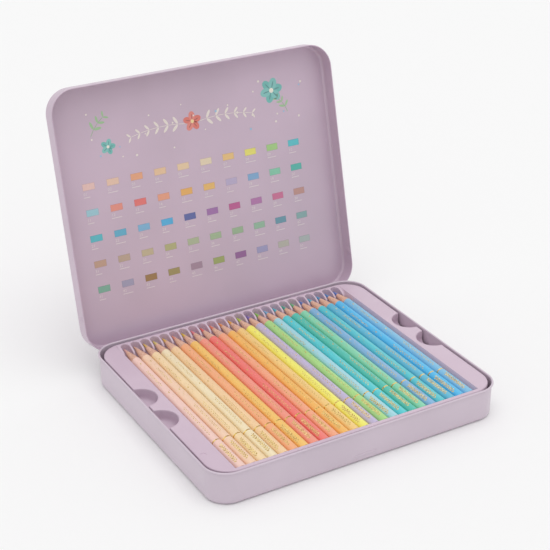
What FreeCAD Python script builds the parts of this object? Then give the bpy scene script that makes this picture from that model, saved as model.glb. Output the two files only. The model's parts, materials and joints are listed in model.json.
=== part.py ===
import FreeCAD, Part
import math
import os

from FreeCAD import Vector

# A hinged tin for colored pencils in two layers. X runs along the front edge, Y to the hinge side,
# Z up. The origin is the middle of the tin's underside. The lid is stored open, as it stands in use.

# Pencils: the standard size that the trays and the tin are built around
pencil_length = 175.0
pencil_diameter = 7.2
core_diameter = 2.8
glue_line = 0.02
cone_length = 20.5
tip_diameter = 0.9
wood_feather = 0.1
butt_chamfer = 0.25
upper_count = 24
lower_count = 26

# Trays: thermoformed sheet with one groove for each pencil
tray_sheet = 0.6
lane_gap = 0.5
lane_clearance = 0.15
end_clearance = 0.5
trough_margin = 1.6
ridge_drop_share = 0.33
flange_cover = 0.3
side_flange = 16.4
rear_flange = 2.2
front_flange = 3.1
tray_corner_radius = 17.0
tray_edge_round = 1.0
trough_rim_round = 0.5
upper_tray_height = 15.8
seat_flat = 0.1
lower_skirt_lift = 1.0
fin_thickness = 1.4
fin_length_share = 0.52
well_radius = 12.0
well_depth = 9.5
well_spacing = 31.0
well_mid_y = 1.0
well_set_out = 0.8
mark_radius = 2.4
mark_depth = 0.2
mark_inset = 3.9
mark_from_front = 25.5

# Base tin
tin_sheet = 0.3
side_gap = 1.4
front_gap = 1.3
rim_above_flange = 0.7
base_fold_radius = 3.3
base_corner_radius = 15.5
bead_diameter = 1.5
bead_overhang = 1.15
bar_width = 17.0
bar_height = 1.6
bar_relief = 0.35
bar_above_fold = 2.4

# Lid
lid_clearance = 0.8
lid_height = 13.0
lid_fold_radius = 3.0
hem_diameter = 0.8
hem_proud = 0.05
dimple_radius = 3.2
dimple_depth = 0.5
dimple_above_rim = 3.4
front_dimple_offset = 77.5
side_dimple_from_rear = 27.0
open_angle = 103.6

# Hinge: two tongues of the lid pass through slots in the base's rear wall
hinge_drop = 4.2
tongue_radius = 1.2
tongue_width = 20.0
tongue_offset = 61.0
tongue_flap = 1.8
hem_drop = 0.1
slot_clearance = 0.25

overrun = 5.0

# Sizes that follow
pencil_radius = pencil_diameter / 2
lane_pitch = pencil_diameter + lane_gap
groove_radius = pencil_radius + lane_clearance
trough_length = pencil_length + 2 * end_clearance
tray_width = upper_count * lane_pitch + 2 * side_flange
tray_depth = front_flange + trough_length + rear_flange

tongue_sweep = math.hypot(tongue_radius + tin_sheet, tongue_flap)
rear_gap = tongue_sweep + slot_clearance - tin_sheet
base_inner_width = tray_width + 2 * side_gap
base_inner_depth = front_gap + tray_depth + rear_gap
base_width = base_inner_width + 2 * tin_sheet
base_depth = base_inner_depth + 2 * tin_sheet
tray_front_y = -base_inner_depth / 2 + front_gap
tray_mid_y = tray_front_y + tray_depth / 2
trough_front_y = tray_front_y + front_flange
trough_rear_y = trough_front_y + trough_length
pencil_butt_y = trough_front_y + end_clearance

lower_axis_z = tin_sheet + tray_sheet - seat_flat + groove_radius
lower_flange_z = lower_axis_z + pencil_radius + flange_cover
upper_flange_z = lower_flange_z + upper_tray_height
upper_axis_z = upper_flange_z - flange_cover - pencil_radius
rim_z = upper_flange_z + rim_above_flange

bead_width = base_width + 2 * bead_overhang
bead_depth = base_depth + 2 * bead_overhang
lid_width = bead_width + 2 * (lid_clearance + tin_sheet)
lid_depth = bead_depth + 2 * (lid_clearance + tin_sheet)
lid_corner_radius = base_corner_radius + tin_sheet + bead_overhang + lid_clearance + tin_sheet
hinge_y = base_depth / 2
hinge_z = rim_z - hinge_drop
lid_rim_z = hinge_z + tongue_radius - hem_drop


def rounded_outline(width, depth, radius, z):
    """Closed wire of a rectangle with round corners, centred on the Z axis."""
    edges = []
    corners = [(1, -1), (1, 1), (-1, 1), (-1, -1)]
    ends = []
    for index, (sx, sy) in enumerate(corners):
        centre = Vector(sx * (width / 2 - radius), sy * (depth / 2 - radius), z)
        turn = math.radians(90 * index - 90)
        points = []
        for step in (0, 1, 2):
            angle = turn + step * math.pi / 4
            points.append(centre + Vector(radius * math.cos(angle), radius * math.sin(angle), 0))
        ends.append(points)
    for index, points in enumerate(ends):
        following = ends[(index + 1) % len(ends)]
        edges.append(Part.Arc(*points).toShape())
        edges.append(Part.LineSegment(points[2], following[0]).toShape())
    return Part.Wire(edges)


def rounded_block(width, depth, radius, low_z, high_z):
    outline = rounded_outline(width, depth, radius, low_z)
    return Part.Face(outline).extrude(Vector(0, 0, high_z - low_z))


def edges_at(shape, z):
    """Edges that lie in the level plane z."""
    tolerance = tin_sheet / 100
    return [edge for edge in shape.Edges if all(abs(v.Z - z) < tolerance for v in edge.Vertexes)]


def box_between(low, high):
    return Part.makeBox(high.x - low.x, high.y - low.y, high.z - low.z, low)


def rolled_edge(width, depth, radius, wire_diameter, z):
    """Round bar that runs all round a rectangle with round corners."""
    path = rounded_outline(width, depth, radius, z)
    start = path.Edges[0].valueAt(path.Edges[0].FirstParameter)
    along = path.Edges[0].tangentAt(path.Edges[0].FirstParameter)
    section = Part.Wire([Part.makeCircle(wire_diameter / 2, start, along)])
    return path.makePipeShell([section], True, False)


def lane_x(index, count):
    return (index - (count - 1) / 2) * lane_pitch


def pencil(x, axis_z):
    """Wood casing and pigment core of one pencil, tip towards the hinge."""
    tip_radius = tip_diameter / 2
    core_radius = core_diameter / 2 - glue_line
    bore_radius = core_diameter / 2
    taper = (pencil_radius - tip_radius) / cone_length
    tip_y = pencil_butt_y + pencil_length
    shoulder_y = tip_y - cone_length
    wood_end_y = tip_y - (bore_radius + wood_feather - tip_radius) / taper
    core_cone_y = tip_y - (core_radius - tip_radius) / taper
    casing = [
        (bore_radius, pencil_butt_y),
        (pencil_radius - butt_chamfer, pencil_butt_y),
        (pencil_radius, pencil_butt_y + butt_chamfer),
        (pencil_radius, shoulder_y),
        (bore_radius + wood_feather, wood_end_y),
        (bore_radius, wood_end_y),
    ]
    core = [
        (0, pencil_butt_y),
        (core_radius, pencil_butt_y),
        (core_radius, core_cone_y),
        (tip_radius, tip_y),
        (0, tip_y),
    ]
    solids = []
    for profile in (casing, core):
        points = [Vector(radius, y, 0) for radius, y in profile]
        face = Part.Face(Part.makePolygon(points + points[:1]))
        solid = face.revolve(Vector(0, 0, 0), Vector(0, 1, 0), 360)
        solid.translate(Vector(x, 0, axis_z))
        solids.append(solid)
    return Part.Compound(solids)


def groove_profile(count, radius, half_width, shoulder_z, axis_z, top_z, y):
    """Face across the lanes: a box above the shoulder level with one arc below it for each lane."""
    half_chord = math.sqrt(radius ** 2 - (axis_z - shoulder_z) ** 2)
    points = [Vector(-half_width, y, top_z), Vector(-half_width, y, shoulder_z)]
    edges = [Part.LineSegment(*points).toShape()]
    last = points[1]
    for index in range(count):
        x = lane_x(index, count)
        start = Vector(x - half_chord, y, shoulder_z)
        end = Vector(x + half_chord, y, shoulder_z)
        if start.distanceToPoint(last) > glue_line / 100:
            edges.append(Part.LineSegment(last, start).toShape())
        else:
            start = last
        edges.append(Part.Arc(start, Vector(x, y, axis_z - radius), end).toShape())
        last = end
    right_low = Vector(half_width, y, shoulder_z)
    right_top = Vector(half_width, y, top_z)
    for target in (right_low, right_top, points[0]):
        edges.append(Part.LineSegment(last, target).toShape())
        last = target
    return Part.Face(Part.Wire(edges))


def fin(x, root_z, top_z):
    """Wall between two tips, whose top edge falls in a quarter arc from the rear flange."""
    length = fin_length_share * cone_length
    rise = top_z - root_z
    rear = trough_rear_y + tray_sheet / 2
    left = x - fin_thickness / 2
    high = Vector(left, rear, top_z)
    crest = Vector(left, trough_rear_y, top_z)
    bend = math.sqrt(0.5)
    middle = Vector(left, trough_rear_y - length * bend, root_z + rise * bend)
    front = Vector(left, trough_rear_y - length, root_z)
    low = Vector(left, rear, root_z)
    edges = [
        Part.LineSegment(high, crest).toShape(),
        Part.Arc(crest, middle, front).toShape(),
        Part.LineSegment(front, low).toShape(),
        Part.LineSegment(low, high).toShape(),
    ]
    return Part.Face(Part.Wire(edges)).extrude(Vector(fin_thickness, 0, 0))


def well_places():
    """Middle points of the four finger wells, just outside the tray's side edges."""
    places = []
    for side in (-1, 1):
        for row in (-1, 1):
            x = side * (tray_width / 2 + well_set_out)
            places.append(Vector(x, well_mid_y + row * well_spacing / 2, 0))
    return places


def tray_shell(skirt_z, flange_z, edge_round):
    """Flange with its skirt, open below."""
    outer = rounded_block(tray_width, tray_depth, tray_corner_radius, skirt_z, flange_z)
    if edge_round:
        outer = outer.makeFillet(edge_round, edges_at(outer, flange_z))
    outer.translate(Vector(0, tray_mid_y, 0))
    inner = rounded_block(
        tray_width - 2 * tray_sheet,
        tray_depth - 2 * tray_sheet,
        tray_corner_radius - tray_sheet,
        skirt_z - overrun,
        flange_z - tray_sheet,
    )
    inner.translate(Vector(0, tray_mid_y, 0))
    return outer, outer.cut(inner)


def tray(count, skirt_z, flange_z, axis_z, edge_round, with_wells):
    outer, shell = tray_shell(skirt_z, flange_z, edge_round)
    half_trough = count * lane_pitch / 2 + trough_margin
    shell_radius = groove_radius + tray_sheet
    ridge_z = axis_z - ridge_drop_share * pencil_radius
    cusp_z = axis_z - math.sqrt(shell_radius ** 2 - (lane_pitch / 2) ** 2)
    wall = groove_profile(
        count, shell_radius, half_trough + tray_sheet, cusp_z, axis_z, flange_z, trough_front_y - tray_sheet
    )
    trough = wall.extrude(Vector(0, trough_length + 2 * tray_sheet, 0))
    opening = groove_profile(
        count, groove_radius, half_trough, ridge_z, axis_z, flange_z + overrun, trough_front_y
    ).extrude(Vector(0, trough_length, 0))
    body = shell.fuse(trough)
    if with_wells:
        for place in well_places():
            floor_z = flange_z - well_depth
            cup = Part.makeCylinder(
                well_radius + tray_sheet, well_depth + tray_sheet, place + Vector(0, 0, floor_z - tray_sheet)
            )
            body = body.fuse(cup.common(outer))
        for place in well_places():
            hole = Part.makeCylinder(well_radius, well_depth + overrun, place + Vector(0, 0, floor_z))
            body = body.cut(hole)
    body = body.cut(opening)
    if edge_round:
        rim = [
            edge
            for edge in edges_at(body, flange_z)
            if all(abs(v.X) < half_trough + tray_sheet for v in edge.Vertexes)
        ]
        body = body.makeFillet(trough_rim_round, rim)
    for index in range(1, count):
        middle_x = (lane_x(index - 1, count) + lane_x(index, count)) / 2
        body = body.fuse(fin(middle_x, ridge_z - tray_sheet / 2, flange_z - trough_rim_round))
    return body.removeSplitter()


def upper_tray():
    body = tray(upper_count, lower_flange_z, upper_flange_z, upper_axis_z, tray_edge_round, True)
    mark = Part.makeCylinder(
        mark_radius,
        mark_depth + overrun,
        Vector(-tray_width / 2 + mark_inset, tray_front_y + mark_from_front, upper_flange_z - mark_depth),
    )
    return body.cut(mark)


def lower_tray():
    body = tray(lower_count, tin_sheet + lower_skirt_lift, lower_flange_z, lower_axis_z, 0, False)
    below = box_between(
        Vector(-tray_width, -tray_depth, tin_sheet - overrun), Vector(tray_width, tray_depth, tin_sheet)
    )
    return body.cut(below)


def slot_levels():
    """Lower and upper edge of the hinge slots, where the turning tongue crosses the rear wall."""
    lean = math.radians(open_angle - 90)
    outside = tongue_radius + tin_sheet
    crossing_low = math.sqrt(tongue_radius ** 2 - tin_sheet ** 2)
    crossing_high = (outside + tin_sheet * math.sin(lean)) / math.cos(lean)
    return hinge_z + crossing_low - slot_clearance, hinge_z + crossing_high + slot_clearance


def base_tin():
    wall_top_z = rim_z - bead_diameter / 2
    outer = rounded_block(base_width, base_depth, base_corner_radius + tin_sheet, 0, wall_top_z)
    outer = outer.makeFillet(base_fold_radius, edges_at(outer, 0))
    inner = rounded_block(
        base_inner_width, base_inner_depth, base_corner_radius, tin_sheet, wall_top_z + overrun
    )
    inner = inner.makeFillet(base_fold_radius - tin_sheet, edges_at(inner, tin_sheet))
    bead_out = bead_overhang - bead_diameter / 2
    bead = rolled_edge(
        base_width + 2 * bead_out,
        base_depth + 2 * bead_out,
        base_corner_radius + tin_sheet + bead_out,
        bead_diameter,
        wall_top_z,
    )
    body = outer.cut(inner).fuse(bead)
    low_z, high_z = slot_levels()
    for side in (-1, 1):
        half_slot = tongue_width / 2 + slot_clearance
        slot = box_between(
            Vector(side * tongue_offset - half_slot, base_inner_depth / 2 - bead_diameter, low_z),
            Vector(side * tongue_offset + half_slot, base_depth / 2 + bead_diameter, high_z),
        )
        body = body.cut(slot)
    return body.fuse(front_bar())


def front_bar():
    """Low bar with round ends, raised on the front wall just above the bottom fold."""
    half = bar_width / 2 - bar_height / 2
    level = base_fold_radius + bar_above_fold
    back_y = -base_depth / 2 + tin_sheet / 2
    reach = Vector(0, -bar_relief - tin_sheet / 2, 0)
    bar = box_between(
        Vector(-half, back_y - bar_relief - tin_sheet / 2, level - bar_height / 2),
        Vector(half, back_y, level + bar_height / 2),
    )
    for x in (-half, half):
        bar = bar.fuse(Part.makeCylinder(bar_height / 2, reach.Length, Vector(x, back_y, level), reach))
    return bar.removeSplitter()


def dimple(shape, place, inward):
    """Press a round dimple into the lid's wall, from outside, at a point on the inner face."""
    ball_radius = (dimple_radius ** 2 + dimple_depth ** 2) / (2 * dimple_depth)
    centre = place - inward * (ball_radius - dimple_depth)
    ball = Part.makeSphere(ball_radius, centre)
    back = place - inward * (tin_sheet / 2)
    keep = Part.makeCylinder(dimple_radius * 2, dimple_depth * 2 + tin_sheet, back, inward)
    hollow = Part.makeSphere(ball_radius - tin_sheet, centre)
    return shape.fuse(ball.common(keep)).cut(hollow)


def tongue(x):
    """Hinge tongue: a leg from the lid's rear edge, a bend about the hinge axis and a short flap."""
    inside, outside = tongue_radius, tongue_radius + tin_sheet
    bend = math.sqrt(0.5)
    left = x - tongue_width / 2
    root_y = lid_depth / 2 - hinge_y - tin_sheet / 2

    def at(y, z):
        return Vector(left, hinge_y + y, hinge_z + z)

    edges = [
        Part.LineSegment(at(root_y, inside), at(0, inside)).toShape(),
        Part.Arc(at(0, inside), at(-inside * bend, inside * bend), at(-inside, 0)).toShape(),
        Part.LineSegment(at(-inside, 0), at(-inside, -tongue_flap)).toShape(),
        Part.LineSegment(at(-inside, -tongue_flap), at(-outside, -tongue_flap)).toShape(),
        Part.LineSegment(at(-outside, -tongue_flap), at(-outside, 0)).toShape(),
        Part.Arc(at(-outside, 0), at(-outside * bend, outside * bend), at(0, outside)).toShape(),
        Part.LineSegment(at(0, outside), at(root_y, outside)).toShape(),
        Part.LineSegment(at(root_y, outside), at(root_y, inside)).toShape(),
    ]
    return Part.Face(Part.Wire(edges)).extrude(Vector(tongue_width, 0, 0))


def lid_tin():
    """Lid pan, made closed and then turned open about the hinge axis."""
    skirt_z = lid_rim_z + hem_diameter / 2
    top_z = lid_rim_z + lid_height
    outer = rounded_block(lid_width, lid_depth, lid_corner_radius, skirt_z, top_z)
    outer = outer.makeFillet(lid_fold_radius, edges_at(outer, top_z))
    inner = rounded_block(
        lid_width - 2 * tin_sheet,
        lid_depth - 2 * tin_sheet,
        lid_corner_radius - tin_sheet,
        skirt_z - overrun,
        top_z - tin_sheet,
    )
    inner = inner.makeFillet(lid_fold_radius - tin_sheet, edges_at(inner, top_z - tin_sheet))
    hem_in = hem_diameter / 2 - hem_proud
    hem = rolled_edge(
        lid_width - 2 * hem_in, lid_depth - 2 * hem_in, lid_corner_radius - hem_in, hem_diameter, skirt_z
    )
    body = outer.cut(inner).fuse(hem)
    dimple_z = lid_rim_z + dimple_above_rim
    front_y = -lid_depth / 2 + tin_sheet
    side_x = lid_width / 2 - tin_sheet
    for side in (-1, 1):
        body = dimple(body, Vector(side * front_dimple_offset, front_y, dimple_z), Vector(0, 1, 0))
        side_y = lid_depth / 2 - side_dimple_from_rear
        body = dimple(body, Vector(side * side_x, side_y, dimple_z), Vector(-side, 0, 0))
        body = body.fuse(tongue(side * tongue_offset))
    body.rotate(Vector(0, hinge_y, hinge_z), Vector(-1, 0, 0), open_angle)
    return body


def all_nodes():
    nodes = {
        "base_tin": base_tin(),
        "lid_tin": lid_tin(),
        "upper_tray": upper_tray(),
        "lower_tray": lower_tray(),
    }
    for index in range(upper_count):
        nodes[f"upper_pencil_{index + 1:02d}"] = pencil(lane_x(index, upper_count), upper_axis_z)
    for index in range(lower_count):
        nodes[f"lower_pencil_{index + 1:02d}"] = pencil(lane_x(index, lower_count), lower_axis_z)
    return nodes


os.makedirs("parts", exist_ok=True)
for name, shape in all_nodes().items():
    shape.exportStep(f"parts/{name}.step")
    print(name, len(shape.Solids), shape.isValid(), round(shape.Volume, 2))
print("hinge", hinge_y, hinge_z, "rim", rim_z, "tin", bead_width, bead_depth, "lid", lid_width, lid_depth)
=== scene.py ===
import bpy
import json
import math
import random
from mathutils import Matrix, Vector


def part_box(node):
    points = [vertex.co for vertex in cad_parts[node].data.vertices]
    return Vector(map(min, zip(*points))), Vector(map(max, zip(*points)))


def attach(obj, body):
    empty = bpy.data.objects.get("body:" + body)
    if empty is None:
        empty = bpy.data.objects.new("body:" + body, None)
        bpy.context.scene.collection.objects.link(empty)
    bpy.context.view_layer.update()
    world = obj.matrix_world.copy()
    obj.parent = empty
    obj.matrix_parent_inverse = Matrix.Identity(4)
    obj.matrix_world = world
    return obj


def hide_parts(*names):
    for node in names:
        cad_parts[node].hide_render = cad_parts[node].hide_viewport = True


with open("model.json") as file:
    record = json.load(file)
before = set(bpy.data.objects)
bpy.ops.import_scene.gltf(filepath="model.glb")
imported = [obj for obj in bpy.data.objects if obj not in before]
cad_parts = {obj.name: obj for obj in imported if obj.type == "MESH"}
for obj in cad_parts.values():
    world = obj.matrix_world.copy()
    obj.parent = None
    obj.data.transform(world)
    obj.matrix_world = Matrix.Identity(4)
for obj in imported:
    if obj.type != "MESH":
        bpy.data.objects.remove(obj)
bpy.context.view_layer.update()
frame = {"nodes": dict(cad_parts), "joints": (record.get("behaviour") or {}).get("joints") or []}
mm = 0.001
random.seed(24)
print("frame loaded:", len(frame["nodes"]), "nodes")


# Small helpers for picking, shaping and finishing

def deselectAll():
    if bpy.context.object and bpy.context.object.mode != "OBJECT":
        bpy.ops.object.mode_set(mode="OBJECT")
    bpy.ops.object.select_all(action="DESELECT")


def makeActive(piece):
    deselectAll()
    piece.select_set(True)
    bpy.context.view_layer.objects.active = piece


def named(name):
    piece = bpy.context.object
    piece.name = name
    piece.data.name = name
    return piece


def pick(piece, kind, test):  # leaves edit mode on, with only the matching vertices, edges or faces selected
    makeActive(piece)
    bpy.ops.object.mode_set(mode="EDIT")
    bpy.ops.mesh.select_mode(type=kind)
    bpy.ops.mesh.select_all(action="DESELECT")
    bpy.ops.object.mode_set(mode="OBJECT")
    mesh = piece.data
    items = {"VERT": mesh.vertices, "EDGE": mesh.edges, "FACE": mesh.polygons}[kind]
    for item in items:
        if kind == "VERT":
            item.select = test(item.co)
        elif kind == "EDGE":
            item.select = test(*[mesh.vertices[i].co for i in item.vertices])
        else:
            item.select = test(item.center, item.normal)
    bpy.ops.object.mode_set(mode="EDIT")


def pickAll(piece):
    pick(piece, "FACE", lambda centre, normal: True)


def applyModifier(piece, kind, **settings):
    makeActive(piece)
    modifier = piece.modifiers.new(kind.title(), kind)
    for key, value in settings.items():
        setattr(modifier, key, value)
    bpy.ops.object.modifier_apply(modifier=modifier.name)


def join(name, pieces):
    makeActive(pieces[0])
    for piece in pieces:
        piece.select_set(True)
    if len(pieces) > 1:
        bpy.ops.object.join()
    return named(name)


def applyPlace(piece, matrix=None):  # the place goes into the mesh, and the object stays at the origin
    if matrix:
        piece.matrix_world = matrix @ piece.matrix_world
    makeActive(piece)
    bpy.ops.object.transform_apply(location=True, rotation=True, scale=True)


def coat(piece, material):
    piece.data.materials.clear()
    piece.data.materials.append(material)


def softShade(piece, angle=32):
    makeActive(piece)
    bpy.ops.object.shade_smooth_by_angle(angle=math.radians(angle))
    applyModifier(piece, "WEIGHTED_NORMAL", keep_sharp=True)


def mergeDoubles(piece, distance=0.002):
    makeActive(piece)
    bpy.ops.object.mode_set(mode="EDIT")
    bpy.ops.mesh.select_all(action="SELECT")
    bpy.ops.mesh.remove_doubles(threshold=distance * mm)
    bpy.ops.object.mode_set(mode="OBJECT")


def seat(piece, body, slot, *nodes):  # the piece moves with its body and stands for its CAD nodes
    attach(piece, body)
    if nodes:
        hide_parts(*nodes)


def near(a, b, tolerance=0.01):
    return abs(a - b) < tolerance * mm


def arcPoints(centre, radius, start, end, steps):  # points on an arc, angles in degrees
    points = []
    for i in range(steps + 1):
        turn = math.radians(start + (end - start) * i / steps)
        points.append((centre[0] + radius * math.cos(turn), centre[1] + radius * math.sin(turn)))
    return points


def roundedRectangle(width, depth, radius, steps=14):
    points = []
    for i, (sx, sy) in enumerate(((1, -1), (1, 1), (-1, 1), (-1, -1))):
        centre = (sx * (width / 2 - radius), sy * (depth / 2 - radius))
        points += arcPoints(centre, radius, 90 * i - 90, 90 * i, steps)
    return points


def curveMesh(name, loops, z, thickness=0):  # flat filled outlines, or a round bar along an outline
    data = bpy.data.curves.new(name, "CURVE")
    data.dimensions = "3D" if thickness else "2D"
    data.fill_mode = "FULL" if thickness else "BOTH"
    data.bevel_depth = thickness / 2
    data.bevel_resolution = 4
    for points in loops:
        spline = data.splines.new("POLY")
        spline.points.add(len(points) - 1)
        for point, (x, y) in zip(spline.points, points):
            point.co = (x, y, 0, 1)
        spline.use_cyclic_u = True
    piece = bpy.data.objects.new(name, data)
    bpy.context.scene.collection.objects.link(piece)
    makeActive(piece)
    bpy.ops.object.convert(target="MESH")
    piece = named(name)
    piece.location.z = z
    applyPlace(piece)
    mergeDoubles(piece)
    return piece


# Materials

def toLinear(hexColor):
    channels = [int(hexColor[i:i + 2], 16) / 255 for i in (0, 2, 4)]
    linear = [c / 12.92 if c <= 0.04045 else ((c + 0.055) / 1.055) ** 2.4 for c in channels]
    return (*linear, 1.0)


def mixHex(first, second, share):
    pairs = [(int(first[i:i + 2], 16), int(second[i:i + 2], 16)) for i in (0, 2, 4)]
    return "".join(f"{round(a + (b - a) * share):02X}" for a, b in pairs)


def perMm(size):  # texture scale that gives features of this size in millimetres
    return 1 / (size * mm)


def addNode(tree, kind, settings=None, links=None):
    node = tree.nodes.new(kind)
    for key, value in (settings or {}).items():
        if key == "stops":
            for element, (spot, hexColor) in zip(node.color_ramp.elements, value):
                element.position, element.color = spot, toLinear(hexColor)
        elif key in node.inputs:
            node.inputs[key].default_value = value
        else:
            setattr(node, key, value)
    for key, source in (links or {}).items():
        tree.links.new(source, node.inputs[key])
    return node


def startMaterial(name):
    material = bpy.data.materials.new(name)
    material.use_nodes = True
    tree = material.node_tree
    tree.nodes.clear()
    coords = addNode(tree, "ShaderNodeTexCoord")
    return material, tree, coords.outputs["Object"]


def endMaterial(material, shader):
    addNode(material.node_tree, "ShaderNodeOutputMaterial", {}, {"Surface": shader.outputs["BSDF"]})
    return material


# Both tins are one lacquer: the base's tone is lighter and greyer as a painted sheen of the pale floor, and the
# lid's tone is darker as painted shade on the lid's inside
tinLook = {"baseToneWithPaintedSheen": "D1C2CF", "lidToneWithPaintedShade": "CBB5C7", "fade": 0.03, "cloudMm": 60, "peelMm": 0.8,
           "peelHeightMm": 0.006, "gloss": 0.36, "dull": 0.46}


# Stoved satin lacquer on tinplate: even colour, faint orange peel, broad highlights; the base's tone passed in
# carries a painted sheen and the lid's a painted shade
def lacqueredTinplate(name, tone):
    material, tree, place = startMaterial(name)
    cloudTone = mixHex(tone, "000000", tinLook["fade"])
    cloud = addNode(tree, "ShaderNodeTexNoise", {"Scale": perMm(tinLook["cloudMm"]), "Detail": 2.0},
                    {"Vector": place})
    color = addNode(tree, "ShaderNodeValToRGB", {"stops": ((0.35, cloudTone), (0.65, tone))},
                    {"Fac": cloud.outputs["Fac"]})
    peel = addNode(tree, "ShaderNodeTexNoise", {"Scale": perMm(tinLook["peelMm"]), "Detail": 3.0},
                   {"Vector": place})
    rough = addNode(tree, "ShaderNodeMapRange", {"To Min": tinLook["gloss"], "To Max": tinLook["dull"]},
                    {"Value": cloud.outputs["Fac"]})
    bump = addNode(tree, "ShaderNodeBump", {"Strength": 0.25, "Distance": tinLook["peelHeightMm"] * mm},
                   {"Height": peel.outputs["Fac"]})
    shader = addNode(tree, "ShaderNodeBsdfPrincipled",
                     {"IOR": 1.5, "Coat Weight": 0.4, "Coat Roughness": 0.26},
                     {"Base Color": color.outputs["Color"], "Roughness": rough.outputs["Result"],
                      "Normal": bump.outputs["Normal"]})
    return endMaterial(material, shader)


trayLook = {"tone": "D3BFCE", "shade": "CDB8C8", "flowMm": 45, "grainMm": 0.35, "grainHeightMm": 0.008}


# Vacuum-formed polystyrene sheet: satin, very fine grain from the mould
def thermoformedStyrene():
    material, tree, place = startMaterial("lilacThermoformedStyrene")
    flow = addNode(tree, "ShaderNodeTexNoise", {"Scale": perMm(trayLook["flowMm"]), "Detail": 2.0},
                   {"Vector": place})
    tone = addNode(tree, "ShaderNodeValToRGB", {"stops": ((0.35, trayLook["shade"]), (0.65, trayLook["tone"]))},
                   {"Fac": flow.outputs["Fac"]})
    grain = addNode(tree, "ShaderNodeTexNoise", {"Scale": perMm(trayLook["grainMm"]), "Detail": 2.0},
                    {"Vector": place})
    bump = addNode(tree, "ShaderNodeBump", {"Strength": 0.3, "Distance": trayLook["grainHeightMm"] * mm},
                   {"Height": grain.outputs["Fac"]})
    shader = addNode(tree, "ShaderNodeBsdfPrincipled",
                     {"Roughness": 0.46, "IOR": 1.55,
                      "Subsurface Weight": 0.05, "Subsurface Radius": (mm, mm, mm)},
                     {"Base Color": tone.outputs["Color"], "Normal": bump.outputs["Normal"]})
    return endMaterial(material, shader)


pencilLook = {"lacquerShade": "7A5A50", "rippleMm": 0.9, "rippleLongMm": 14, "rippleHeightMm": 0.01,
              "gloss": 0.3, "dull": 0.42, "woodDark": "CC9880", "woodLight": "F0CAB2",
              "grainMm": 0.5, "grainLongMm": 7, "cutHeightMm": 0.03, "crumbMm": 0.4}


# Several dipped coats over wood: even colour, faint lengthwise ripple, silky gloss
def pencilLacquer(name, hexColor):
    material, tree, place = startMaterial(name)
    across, lengthwise = perMm(pencilLook["rippleMm"]), perMm(pencilLook["rippleLongMm"])
    along = addNode(tree, "ShaderNodeMapping", {"Scale": (across, lengthwise, across)}, {"Vector": place})
    ripple = addNode(tree, "ShaderNodeTexNoise", {"Scale": 1.0, "Detail": 2.0},
                     {"Vector": along.outputs["Vector"]})
    shade = mixHex(hexColor, pencilLook["lacquerShade"], 0.05)
    tone = addNode(tree, "ShaderNodeValToRGB", {"stops": ((0.3, shade), (0.7, hexColor))},
                   {"Fac": ripple.outputs["Fac"]})
    rough = addNode(tree, "ShaderNodeMapRange", {"To Min": pencilLook["gloss"], "To Max": pencilLook["dull"]},
                    {"Value": ripple.outputs["Fac"]})
    bump = addNode(tree, "ShaderNodeBump", {"Strength": 0.2, "Distance": pencilLook["rippleHeightMm"] * mm},
                   {"Height": ripple.outputs["Fac"]})
    shader = addNode(tree, "ShaderNodeBsdfPrincipled",
                     {"IOR": 1.48, "Coat Weight": 0.15, "Coat Roughness": 0.2},
                     {"Base Color": tone.outputs["Color"], "Roughness": rough.outputs["Result"],
                      "Normal": bump.outputs["Normal"]})
    return endMaterial(material, shader)


# Bare basswood cut by the sharpener: dry, with fine grain along the pencil
def sharpenedWood():
    material, tree, place = startMaterial("sharpenedBasswood")
    across, lengthwise = perMm(pencilLook["grainMm"]), perMm(pencilLook["grainLongMm"])
    along = addNode(tree, "ShaderNodeMapping", {"Scale": (across, lengthwise, across)}, {"Vector": place})
    grain = addNode(tree, "ShaderNodeTexNoise", {"Scale": 1.0, "Detail": 4.0, "Roughness": 0.65},
                    {"Vector": along.outputs["Vector"]})
    stops = ((0.3, pencilLook["woodDark"]), (0.7, pencilLook["woodLight"]))
    tone = addNode(tree, "ShaderNodeValToRGB", {"stops": stops}, {"Fac": grain.outputs["Fac"]})
    bump = addNode(tree, "ShaderNodeBump", {"Strength": 0.4, "Distance": pencilLook["cutHeightMm"] * mm},
                   {"Height": grain.outputs["Fac"]})
    shader = addNode(tree, "ShaderNodeBsdfPrincipled", {"Roughness": 0.72, "IOR": 1.45},
                     {"Base Color": tone.outputs["Color"], "Normal": bump.outputs["Normal"]})
    return endMaterial(material, shader)


# Waxy pigment lead: deep colour, slightly crumbly, soft sheen
def pigmentCore(name, hexColor):
    material, tree, place = startMaterial(name)
    crumb = addNode(tree, "ShaderNodeTexNoise", {"Scale": perMm(pencilLook["crumbMm"]), "Detail": 3.0},
                    {"Vector": place})
    shade = mixHex(hexColor, "000000", 0.12)
    tone = addNode(tree, "ShaderNodeValToRGB", {"stops": ((0.3, shade), (0.7, hexColor))},
                   {"Fac": crumb.outputs["Fac"]})
    bump = addNode(tree, "ShaderNodeBump", {"Strength": 0.4, "Distance": pencilLook["cutHeightMm"] * mm},
                   {"Height": crumb.outputs["Fac"]})
    shader = addNode(tree, "ShaderNodeBsdfPrincipled", {"Roughness": 0.5, "IOR": 1.45},
                     {"Base Color": tone.outputs["Color"], "Normal": bump.outputs["Normal"]})
    return endMaterial(material, shader)


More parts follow.
